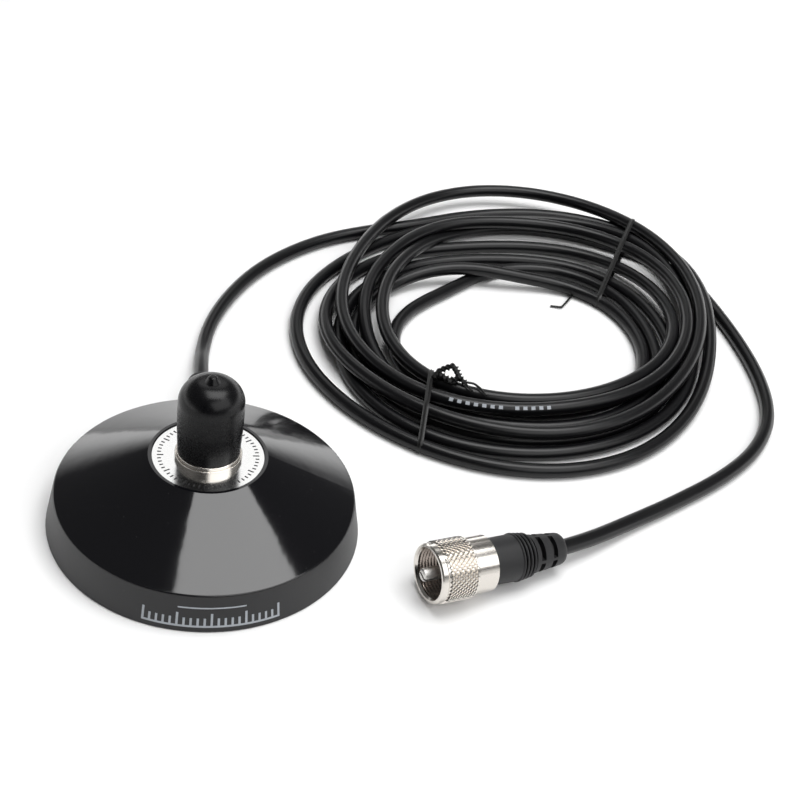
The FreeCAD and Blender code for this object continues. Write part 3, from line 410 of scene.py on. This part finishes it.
# Threads of the socket and the nut, 24 turns to the inch
thread_pitch = 1.06
rows_a_pitch = 8
flank_slope = 2.4


def thread_rows(crest, root, start, end):
    """Rows of a screw thread between two levels, which runs out at both ends."""
    step = math.copysign(thread_pitch / rows_a_pitch, end - start)
    levels = [start + step * k for k in range(int((end - start) / step) + 1)]
    low, high = min(levels), max(levels)

    def radius(angle, level):
        turn = (level / thread_pitch - angle / (2 * math.pi)) % 1
        groove = min(max(flank_slope * (0.5 - abs(turn - 0.5)), 0), 1)
        run_out = min(1, (level - low) / thread_pitch, (high - level) / thread_pitch)
        return crest + (root - crest) * groove * run_out

    return [(radius, level) for level in levels]


# The plug's own axis, from the nut's mouth at level 0 to the lead
plug_axis = Vector((0.94317, 0.32292, -0.07846))
plug_side = Vector((-0.3239, 0.9461, 0)).normalized()
plug_place = Matrix((plug_side, plug_axis.cross(plug_side), plug_axis)).transposed().to_4x4()
plug_place.translation = (0.06365, -0.0345, 0.01036)

# Coupling nut: a plain ring in front, a diamond knurl and a plain ring behind, with the thread inside
ring_radius = 9.0
ring_end = 1.9
ring_groove = 0.3
rear_radius = 8.6
nut_length = 19.8
nut_edge = 0.4
mouth_radius = 7.95
inner_crest = 7.45
inner_thread_start = 0.7
inner_thread_end = 10.6
chamber_radius = 7.8
neck_radius = 6.65
neck_start = 17.6
painted_shade_start = 0.9
knurl_root = 8.95
knurl_crest = 9.4
knurl_start = 2.2
knurl_end = 12.6
diamonds_around = 40
diamonds_along = 6
knurl_flat = 0.45
knurl_edge = math.radians(18)


def knurl(mesh, front_ring, rear_ring):
    """Staggered pyramids with small flat tops, between a ring of points in front and one behind."""
    around = 2 * diamonds_around
    along = 2 * diamonds_along

    def spot(column, row, radius):
        angle = math.pi * column / diamonds_around
        level = knurl_start + (knurl_end - knurl_start) * row / along
        return mesh.verts.new((radius * math.cos(angle), radius * math.sin(angle), level))

    valleys = {(column, 0): front_ring[column] for column in range(around)}
    valleys.update({(column, along): rear_ring[column] for column in range(around)})
    for row in range(1, along):
        for column in range((row + 1) % 2, around, 2):
            valleys[column, row] = spot(column, row, knurl_root)
    for row in range(along + 1):
        for column in range(row % 2, around, 2):
            right = valleys[(column + 1) % around, row]
            left = valleys[(column - 1) % around, row]
            if row in (0, along):
                inner = valleys[column, 1 if row == 0 else along - 1]
                mesh.faces.new((left, valleys[column, row], inner))
                mesh.faces.new((valleys[column, row], right, inner))
                continue
            corners = [right, valleys[column, row + 1], left, valleys[column, row - 1]]
            shifts = ((knurl_flat, 0), (0, knurl_flat), (-knurl_flat, 0), (0, -knurl_flat))
            top = [spot(column + side, row + rise, knurl_crest) for side, rise in shifts]
            mesh.faces.new(top)
            for k in range(4):
                after = (k + 1) % 4
                mesh.faces.new((corners[k], corners[after], top[after], top[k]))


nut_mesh = bmesh.new()
nut_rows = [
    (knurl_root, knurl_end), (rear_radius, knurl_end), (rear_radius, nut_length - nut_edge),
    (rear_radius - nut_edge, nut_length), (neck_radius, nut_length), (neck_radius, neck_start),
    (chamber_radius, neck_start), (chamber_radius, inner_thread_end),
]
nut_rows += thread_rows(inner_crest, mouth_radius, inner_thread_end, inner_thread_start)
nut_rows += [
    (mouth_radius, 0), (ring_radius - nut_edge, 0), (ring_radius, nut_edge), (ring_radius, ring_end),
    (knurl_root - ring_groove, ring_end + 0.05), (knurl_root, knurl_start),
]
nut_rings = lathe(nut_mesh, nut_rows, 2 * diamonds_around, closed=False)
knurl(nut_mesh, nut_rings[-1], nut_rings[0])
nickel = FINISHES["nickel"]
coupling_nut = new_piece("knurled_coupling_nut", nut_mesh, nickel, "nut", plug_place)
coupling_nut.data.set_sharp_from_angle(angle=knurl_edge)
coupling_nut.data.materials.append(painted_shade_bore)
# The faces inside the nut, from just behind its mouth to the neck, take the nickel with painted shade
for face in coupling_nut.data.polygons:
    offset = plug_place.inverted() @ face.center / mm
    inside = math.hypot(offset.x, offset.y) < mouth_radius + 0.15
    if inside and painted_shade_start < offset.z < neck_start + 0.1:
        face.material_index = 1
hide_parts("coupling_nut")

# Centre pin, frosted and split at its tip, which shows past the nut
pin_radius = 2.0
pin_tip = -2.1
pin_shoulder = 7.6
shank_radius = 1.6
shank_end = 14.9
pin_rows = [
    (shank_radius, shank_end), (shank_radius, pin_shoulder), (pin_radius, pin_shoulder),
    (pin_radius, pin_tip + 0.8), (pin_radius - 0.15, pin_tip + 0.3), (pin_radius - 0.6, pin_tip),
]
pin_mesh = bmesh.new()
pin_rings = lathe(pin_mesh, pin_rows, around=32, closed=False)
pin_mesh.faces.new(pin_rings[0])
pin_mesh.faces.new(pin_rings[-1])
silver = FINISHES["contact_brass"]
pin = new_piece("split_plug_pin", pin_mesh, silver, "mount", plug_place)
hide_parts("plug_pin")
cut_across(pin, width=0.8, depth=5.5, place=plug_place @ Matrix.Rotation(math.radians(15), 4, "Z"))

# Moulded boot: plain grip, four ridges, then a tapered tail with two rows of four slots
boot_start = 19.9
crimp_radius = 6.65
crimp_end = 22.5
lead_hole = 3.75
hole_end = 32.5
grip_radius = 7.2
grip_end = 28.9
ridges = 4
ridge_start = 29
ridge_pitch = 1.4
ridge_radius = 7.5
ridge_drop = 0.2
valley_depth = 1.5
slots_around = 4
slot_phase = math.radians(31)
slot_half_angle = math.radians(40)
slot_side = math.radians(3)
slot_floor = 3.6
slot_width = 1.7
slot_edge = 0.12
slot_starts = (36.3, 40.9)
tail_start = 34.8
tail_end = 46.8
tail_radius = 6.1
tail_taper = 1.2

# The rounded end of the tail: each radius and how far it lies before the end
TAIL_ROUND = [(4.85, 0.8), (4.45, 0.3), (3.8, 0)]


def boot_tail(angle, level):
    return tail_radius - tail_taper * (level - tail_start) / (tail_end - tail_start)


def boot_slot(angle, level):
    space = 2 * math.pi / slots_around
    off_middle = abs((angle - slot_phase + space / 2) % space - space / 2)
    inside = min(max((slot_half_angle - off_middle) / slot_side, 0), 1)
    outside = boot_tail(angle, level)
    return outside + (slot_floor - outside) * inside


boot_rows = [
    (lead_hole, hole_end), (lead_hole, crimp_end), (crimp_radius, crimp_end), (crimp_radius, boot_start),
    (grip_radius - 0.2, boot_start), (grip_radius, boot_start + 0.2), (grip_radius, grip_end),
]
for ridge in range(ridges):
    start = ridge_start + ridge_pitch * ridge
    crest = ridge_radius - ridge_drop * ridge
    boot_rows += [(crest - 0.2, start), (crest, start + 0.25)]
    boot_rows += [(crest, start + 0.6), (crest - 0.2, start + 0.8)]
    boot_rows += [(crest - valley_depth, start + 0.85), (crest - valley_depth, start + ridge_pitch)]
boot_rows.append((boot_tail, tail_start))
for start in slot_starts:
    end = start + slot_width
    boot_rows += [(boot_tail, start), (boot_slot, start + slot_edge)]
    boot_rows += [(boot_slot, end - slot_edge), (boot_tail, end)]
boot_rows.append((boot_tail, tail_end - 1.6))
boot_rows += [(radius, tail_end - before) for radius, before in TAIL_ROUND]
boot_mesh = bmesh.new()
boot_rings = lathe(boot_mesh, boot_rows, around=120, closed=False)
boot_mesh.faces.new(boot_rings[0])
boot_mesh.faces.new(boot_rings[-1])
vinyl = FINISHES["boot_vinyl"]
boot = new_piece("slotted_plug_boot", boot_mesh, vinyl, "mount", plug_place)
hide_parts("plug_boot")

# Antenna socket: threaded sleeve with a hexagonal flange under the deck and four notches in its rim
socket_radius = 7.94
socket_root = 7.38
socket_bore = 6.2
socket_top = 46
socket_thread_start = 28.4
socket_thread_end = 45.3
stem_radius = 7.3
stem_start = 16
flange_across = 19.0
flange_start = 18.2
flange_end = 21.2


def hexagon(angle, level):
    sixth = math.pi / 3
    return flange_across / 2 / math.cos((angle + sixth / 2) % sixth - sixth / 2)


socket_rows = [
    (socket_bore, stem_start), (stem_radius, stem_start), (stem_radius, flange_start),
    (hexagon, flange_start), (hexagon, flange_end), (socket_radius, flange_end),
]
socket_rows += thread_rows(socket_radius, socket_root, socket_thread_start, socket_thread_end)
socket_rows += [(socket_radius - 0.6, socket_top), (socket_bore, socket_top)]
socket_mesh = bmesh.new()
lathe(socket_mesh, socket_rows, around=72)
socket = new_piece("threaded_socket", socket_mesh, nickel, "mount")
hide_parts("socket_body")
for turn in (0, 90):
    rim = Matrix.Translation((0, 0, socket_top * mm)) @ Matrix.Rotation(math.radians(turn), 4, "Z")
    cut_across(socket, width=1.8, depth=3, place=rim)

# Prints: each mark is a thin raised patch on the surface that carries it
ink_height = 0.05


def print_mark(mesh, spot, first, second, steps=1):
    """One mark. spot gives the place of two measures and a height, and first and second are their ranges."""
    low, high = second
    corners = [(low, -ink_height), (low, ink_height), (high, ink_height), (high, -ink_height)]
    slices = []
    for k in range(steps + 1):
        at = first[0] + (first[1] - first[0]) * k / steps
        slices.append([mesh.verts.new(spot(at, side, height)) for side, height in corners])
    mesh.faces.new(slices[0])
    mesh.faces.new(reversed(slices[-1]))
    for one, other in zip(slices, slices[1:]):
        for k in range(4):
            after = (k + 1) % 4
            mesh.faces.new((one[k], one[after], other[after], other[k]))


# Skirt print: a ruled scale with a line above it, in degrees round the base and millimetres up the skirt
base_radius = 47.5
floor_gap = 0.3
skirt_draft = 2.2
skirt_ticks = 21
tick_spacing = 2.4
tick_half = 0.4
first_tick = -113
last_tick = first_tick + tick_spacing * (skirt_ticks - 1)
rule_low = 1.8
tick_low = 2.4
tick_high = 4.8
long_tick_high = 6.4
line_span = (-101, -77)
line_levels = (8.0, 8.4)


def on_skirt(angle, level, height):
    reach = base_radius - (level - floor_gap) * skirt_draft / (cone_foot - floor_gap) + height
    way = math.radians(angle)
    return Vector((reach * math.cos(way), reach * math.sin(way), level))


skirt_mesh = bmesh.new()
for tick in range(skirt_ticks):
    angle = first_tick + tick_spacing * tick
    tall = long_tick_high if tick % 5 == 0 else tick_high
    print_mark(skirt_mesh, on_skirt, (angle - tick_half, angle + tick_half), (tick_low, tall))
rule_span = (first_tick - tick_half, last_tick + tick_half)
print_mark(skirt_mesh, on_skirt, rule_span, (rule_low, tick_low), steps=24)
print_mark(skirt_mesh, on_skirt, line_span, line_levels, steps=12)
new_piece("skirt_print", skirt_mesh, pale_ink, "mount")

# Disc print: sixty ticks round its edge, every fifth one longer
disc_top = 25.6
disc_ticks = 60
disc_tick_half = 0.8
disc_tick_outer = 15.1
disc_tick_inner = 14.0
long_disc_tick_inner = 13.2


def on_disc(angle, reach, height):
    way = math.radians(angle)
    return Vector((reach * math.cos(way), reach * math.sin(way), disc_top + height))


disc_mesh = bmesh.new()
for tick in range(disc_ticks):
    angle = 360 / disc_ticks * tick
    inner = long_disc_tick_inner if tick % 5 == 0 else disc_tick_inner
    span = (angle - disc_tick_half, angle + disc_tick_half)
    print_mark(disc_mesh, on_disc, span, (inner, disc_tick_outer))
new_piece("disc_print", disc_mesh, black_ink, "mount")

# Twist ties: flat tape with a wire down its middle, drawn tight round the turns it holds
tape_section = [
    (-0.95, -0.14), (-0.35, -0.18), (0, -0.4), (0.35, -0.18), (0.95, -0.14),
    (0.95, 0.14), (0.35, 0.18), (0, 0.4), (-0.35, 0.18), (-0.95, 0.14),
]


def oval(width, depth, step):
    """An oval section, from its half width and half depth, with a corner at every step in degrees."""
    angles = [math.radians(step * k) for k in range(360 // step)]
    return [(width * math.cos(angle), depth * math.sin(angle)) for angle in angles]


# Where two tapes are twisted together, and the thin wire at their ends
pair_section = oval(1.3, 0.6, 30)
wire_section = oval(0.42, 0.42, 45)
twist_pitch = 3.6
TIES = {
    "front": {
        "middle": (76.5, 52.6), "heading": 76.6,
        "twists": [
            [
                (79.9, 61.1, 11.2), (82.4, 64.4, 12), (85.1, 65.7, 12.4), (87.7, 66.7, 12.6),
                (88.4, 64, 12.4), (88.9, 60.6, 12), (90.4, 58.9, 11.4),
            ],
            [
                (81.8, 64.0, 11.6), (83.6, 61.6, 11.5), (85.2, 59.8, 11.5), (87.4, 60.0, 11.6),
                (89.3, 60.5, 11.7),
            ],
        ],
        "ends": [
            [(90.2, 59.2, 11.4), (93.7, 58.6, 11.2), (95.7, 55.8, 11.0), (97.0, 52.4, 10.8)],
            [(89.5, 60.0, 11.4), (91.0, 57.4, 11.2), (92.3, 54.5, 11.0)],
        ],
    },
    "back": {
        "middle": (170.8, 153.0), "heading": 62.8,
        "twists": [
            [(157.6, 127.4, 3.6), (155.2, 129.6, 3.0), (152.6, 132.0, 2.4), (150.0, 133.8, 1.8)],
        ],
        "ends": [
            [
                (150.4, 133.5, 1.8), (148.4, 132.6, 1.4), (145.2, 128.4, 1.0), (142.3, 124.6, 0.8),
                (138.0, 125.6, 0.6),
            ],
        ],
    },
}

# How far along itself a tie takes in turns, and how far its tape's middle keeps from a turn and the floor
tie_reach = 33
tape_off_lead = 2.85
tape_off_floor = 0.45
rim_step = 15
rounding_passes = 3


def sweep(mesh, path, section, side, twist=0.0, closed=False):
    """A section drawn along a path. side is its first axis, and twist its turn in radians a millimetre."""
    rings = []
    turned_by = 0.0
    count = len(path)
    for k, spot in enumerate(path):
        before = path[k - 1] if k or closed else spot
        after = path[(k + 1) % count] if k + 1 < count or closed else spot
        forward = (after - before).normalized()
        side = (side - forward * side.dot(forward)).normalized()
        up = forward.cross(side)
        turned_by += twist * (spot - before).length
        across = side * math.cos(turned_by) + up * math.sin(turned_by)
        upright = up * math.cos(turned_by) - side * math.sin(turned_by)
        rings.append([mesh.verts.new(spot + across * a + upright * b) for a, b in section])
    pairs = list(zip(rings, rings[1:]))
    if closed:
        pairs.append((rings[-1], rings[0]))
    else:
        mesh.faces.new(rings[0])
        mesh.faces.new(reversed(rings[-1]))
    for one, other in pairs:
        for k in range(len(section)):
            after = (k + 1) % len(section)
            mesh.faces.new((one[k], one[after], other[after], other[k]))


def evenly(path, step, closed=False):
    """The same path with its points a set distance apart, and its corners a little rounded."""
    if closed:
        path = path + path[:1]
    lengths = np.cumsum([0] + [(b - a).length for a, b in zip(path, path[1:])])
    count = max(int(lengths[-1] / step), 2)
    marks = np.linspace(0, lengths[-1], count + 1)
    spots = np.array([np.interp(marks, lengths, [p[axis] for p in path]) for axis in range(3)]).T
    for _ in range(rounding_passes):
        spots[1:-1] = (spots[:-2] + 2 * spots[1:-1] + spots[2:]) / 4
    return [Vector(spot) for spot in (spots[:-1] if closed else spots)]


def strands_across(middle, ahead, out):
    """Where the turns pass through the plane of a tie: how far along it and how high."""
    found = []
    for one, other in zip(lead_line, lead_line[1:]):
        start = (one - middle).dot(out)
        end = (other - middle).dot(out)
        if start * end > 0:
            continue
        spot = one.lerp(other, start / (start - end))
        along = (spot - middle).dot(ahead)
        if abs(along) < tie_reach:
            found.append((along, spot.z))
    return found


for name, tie in TIES.items():
    middle = Vector((*tie["middle"], 0))
    way = math.radians(tie["heading"])
    ahead = Vector((math.cos(way), math.sin(way), 0))
    out = Vector((-math.sin(way), math.cos(way), 0))
    rims = []
    for reach, height in strands_across(middle, ahead, out):
        for angle in [math.radians(rim_step * k) for k in range(360 // rim_step)]:
            level = max(height + tape_off_lead * math.sin(angle), tape_off_floor)
            rims.append((reach + tape_off_lead * math.cos(angle), level))
    loop = [middle + ahead * rims[k][0] + Vector((0, 0, rims[k][1])) for k in convex_hull_2d(rims)]
    tie_mesh = bmesh.new()
    sweep(tie_mesh, evenly(loop, step=1.0, closed=True), tape_section, out, closed=True)
    for twisted in tie["twists"]:
        path = evenly([Vector(spot) for spot in twisted], step=0.3)
        sweep(tie_mesh, path, pair_section, out, twist=2 * math.pi / twist_pitch)
    for end in tie["ends"]:
        path = evenly([Vector(spot) for spot in end], step=0.4)
        sweep(tie_mesh, path, wire_section, out)
    piece = new_piece(name + "_twist_tie", tie_mesh, FINISHES["tie_plastic"], "mount")
    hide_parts("twist_tie_" + name)

# Jacket print: short pale dashes along the turn that faces the camera near the front tie
print_start = Vector((86, 56.5, 8))
print_facing = Vector((-0.16, -0.68, 0.72))
print_step = 0.35
points_ahead = 5
points_printed = 40
dashes = 13
left_out_dash = 7
dash_pitch = 8
dash_length = 4
dash_half_angle = 14
jacket_radius = 2.5

nearest = min(range(len(lead_line)), key=lambda k: (lead_line[k] - print_start).length)
onward = 1 if lead_line[nearest + points_ahead].x > lead_line[nearest].x else -1
print_line = evenly(lead_line[nearest::onward][:points_printed], print_step)


def on_jacket(step, around, height):
    """A place on the jacket, in steps along the print's line and degrees round the lead."""
    here = print_line[int(step)]
    forward = (print_line[int(step) + 1] - here).normalized()
    facing = (print_facing - forward * print_facing.dot(forward)).normalized()
    aside = forward.cross(facing)
    angle = math.radians(around)
    return here + (facing * math.cos(angle) + aside * math.sin(angle)) * (jacket_radius + height)


jacket_mesh = bmesh.new()
for dash in range(dashes):
    if dash != left_out_dash:
        span = (dash_pitch * dash, dash_pitch * dash + dash_length)
        print_mark(jacket_mesh, on_jacket, span, (-dash_half_angle, dash_half_angle), steps=dash_length)
jacket_marks = new_piece("jacket_print", jacket_mesh, pale_ink, "mount")

# The lead's place in the model
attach(lead, "mount")
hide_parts("lead_to_coil", "cable_coil", "lead_to_plug")

# Floor and background: matt white board that keeps the object's shadow, and fades to plain white further off
floor_half = 6
fade_start = 0.35
fade_end = 0.9
floor_data = bpy.data.meshes.new("floor")
floor_corners = [(x * floor_half, y * floor_half, 0) for x, y in ((-1, -1), (1, -1), (1, 1), (-1, 1))]
floor_data.from_pydata(floor_corners, [], [(0, 1, 2, 3)])
floor = bpy.data.objects.new("floor", floor_data)
bpy.context.scene.collection.objects.link(floor)
board, tree = bare_material("matt_white_board")
place = add(tree, "TexCoord").outputs["Object"]
reach = add(tree, "VectorMath", {0: place}, operation="LENGTH").outputs["Value"]
far = add(tree, "MapRange", {"Value": reach, "From Min": fade_start, "From Max": fade_end}).outputs["Result"]
rays = add(tree, "LightPath").outputs
viewed = add(tree, "Math", {0: rays["Is Camera Ray"], 1: rays["Is Glossy Ray"]}, operation="MAXIMUM")
fade = add(tree, "Math", {0: far, 1: viewed.outputs["Value"]}, operation="MULTIPLY").outputs["Value"]
shader = add(tree, "BsdfPrincipled", {
    "Base Color": linear("#f9f9f9"), "Roughness": 0.9, "Specular IOR Level": 0.1})
white = add(tree, "Emission", {"Color": (1, 1, 1, 1), "Strength": 1.0})
surface = add(tree, "MixShader", {0: fade, 1: shader.outputs["BSDF"], 2: white.outputs["Emission"]})
add(tree, "OutputMaterial", {"Surface": surface.outputs["Shader"]})
floor_data.materials.append(board)


def softbox(name, width, depth, radiance, place, target):
    """A rectangular lamp of even brightness that faces its target."""
    lamp = bpy.data.lights.new(name, "AREA")
    lamp.shape = "RECTANGLE"
    lamp.size = width
    lamp.size_y = depth
    lamp.energy = radiance * math.pi * width * depth
    item = bpy.data.objects.new(name, lamp)
    item.location = place
    item.rotation_euler = (Vector(target) - Vector(place)).to_track_quat("-Z", "Y").to_euler()
    bpy.context.scene.collection.objects.link(item)


# Lamps: each one's width, depth and brightness, where it hangs and what it faces
object_middle = (0.08, 0.08, 0)
softbox("overhead_softbox", 1.14, 0.9, 5.6, (0.33, 0.12, 1.4), (0.33, 0.12, 0))
softbox("back_softbox", 1.1, 0.6, 1.2, (0.09, 1.33, 1.2), object_middle)
softbox("front_softbox", 1.8, 1.1, 2.1, (0.8, -0.9, 1.1), object_middle)

# World: white for the camera, and for the rest a room with bright walls, dim above and behind the camera
world = bpy.data.worlds.new("studio")
world.use_nodes = True
tree = world.node_tree
tree.nodes.clear()
way = add(tree, "SeparateXYZ", {"Vector": add(tree, "TexCoord").outputs["Generated"]}).outputs
walls = add(tree, "MapRange", {
    "Value": way["Z"], "From Min": 0.05, "From Max": 0.32, "To Min": 2.3, "To Max": 0.12},
    interpolation_type="SMOOTHSTEP")
shade = add(tree, "MapRange", {
    "Value": way["Y"], "From Min": -0.8, "From Max": -0.4, "To Min": 0.03, "To Max": 1.0})
room = add(tree, "Math", {0: walls.outputs["Result"], 1: shade.outputs["Result"]}, operation="MULTIPLY")
seen = add(tree, "LightPath").outputs["Is Camera Ray"]
strength = add(tree, "Mix", {"Factor": seen, "A": room.outputs["Value"], "B": 1.0})
backdrop = add(tree, "Background", {"Color": (1, 1, 1, 1), "Strength": strength.outputs[0]})
add(tree, "OutputWorld", {"Surface": backdrop.outputs["Background"]})
bpy.context.scene.world = world
bpy.context.scene.view_settings.view_transform = "Standard"
